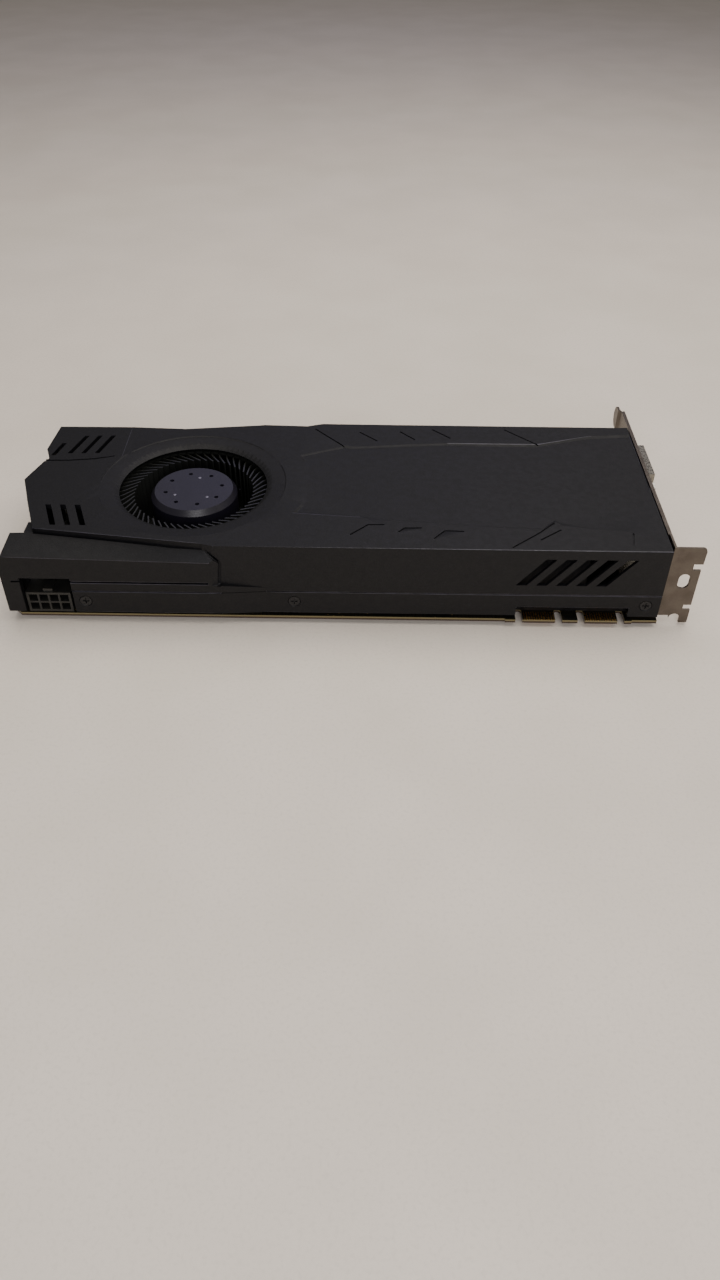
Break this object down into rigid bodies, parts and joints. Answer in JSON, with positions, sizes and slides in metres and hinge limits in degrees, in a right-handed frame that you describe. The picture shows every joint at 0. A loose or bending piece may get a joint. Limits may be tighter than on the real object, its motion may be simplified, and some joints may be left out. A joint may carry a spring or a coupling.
{
  "type": "graphics card",
  "caption": "Dual-slot graphics card with a closed plastic cover, one blower fan at the tail, a slotted end bracket and stacked display sockets.",
  "frame": {"origin": "middle of the card's box in plan, at the lowest point, as it lies on its board side", "axes": "+X along the card towards the bracket, +Y across the board from the bridge tabs towards the motherboard contacts, +Z from the board towards the fan"},
  "size_m": [0.2788, 0.1242, 0.0386],
  "materials": {
    "board_laminate": "solder mask over glass laminate, yellow-brown at the cut edge",
    "gold_contact": "gold plated",
    "chip_package": "chip package laminate",
    "silicon": "polished silicon",
    "chip_black": "moulded epoxy",
    "thermal_pad": "soft silicone pad",
    "ferrite": "pressed ferrite",
    "capacitor_can": "drawn aluminium can",
    "socket_nylon": "moulded nylon",
    "tinned_pin": "tinned",
    "cover_abs": "fine moulded texture, charcoal",
    "screw_black": "black zinc",
    "screw_steel": "nickel plated",
    "cast_plate": "black anodised casting",
    "copper": "nickel-free copper",
    "fin_aluminium": "rolled sheet",
    "spring_steel": "spring steel",
    "fan_plastic": "glass-filled nylon",
    "rotor_plastic": "satin moulded rotor",
    "sleeve_bronze": "sintered bronze",
    "stator_steel": "stacked steel plates",
    "winding": "enamelled copper wire",
    "magnet": "bonded ferrite",
    "shaft_steel": "ground steel",
    "lead_sleeve": "shrink sleeve over four wires",
    "socket_white": "moulded nylon",
    "bracket_steel": "nickel plated sheet steel",
    "socket_shell": "nickel plated sheet steel",
    "socket_face": "moulded plastic",
    "socket_face_white": "moulded plastic"
  },
  "bodies": {
    "card": {"circuit_board": "board_laminate", "edge_contacts": "gold_contact", "bridge_contacts": "gold_contact", "chip_substrate": "chip_package", "chip_die": "silicon", "memory_chips": "chip_black", "memory_pads": "thermal_pad", "power_chokes": "ferrite", "tail_chokes": "ferrite", "tail_capacitors": "capacitor_can", "bulk_capacitors": "chip_black", "power_stages": "chip_black", "power_stage_pads": "thermal_pad", "small_chips": "chip_black", "power_housing": "socket_nylon", "power_pins": "tinned_pin", "cover": "cover_abs", "upper_rail": "cover_abs", "lower_rail": "cover_abs", "side_screws": "screw_black", "base_plate": "cast_plate", "copper_base": "copper", "fins": "fin_aluminium", "chip_screws": "screw_steel", "chip_springs": "spring_steel", "plate_screws": "screw_steel", "fan_frame": "fan_plastic", "bearing_sleeve": "sleeve_bronze", "stator_core": "stator_steel", "stator_coils": "winding", "motor_board": "board_laminate", "fan_screws": "screw_steel", "fan_lead": "lead_sleeve", "fan_socket": "socket_white", "bracket": "bracket_steel", "dvi_housing": "socket_face", "dvi_shell_lower": "socket_shell", "dvi_shell_upper": "socket_shell", "dvi_insert_lower": "socket_face_white", "dvi_insert_upper": "socket_face_white", "jackscrews": "screw_steel", "dvi_pins": "tinned_pin", "hdmi_shell": "socket_shell", "hdmi_insert": "socket_face", "displayport_shell": "socket_shell", "displayport_insert": "socket_face"},
    "fan_rotor": {"impeller": "rotor_plastic", "rotor_yoke": "stator_steel", "rotor_magnet": "magnet", "rotor_shaft": "shaft_steel"}
  },
  "joints": [
    {"name": "fan_spin", "type": "hinge", "parent": "card", "child": "fan_rotor", "pos_m": [-0.06735, -0.0154, 0.0224], "axis": [0, 0, 1], "continuous": true}
  ]
}
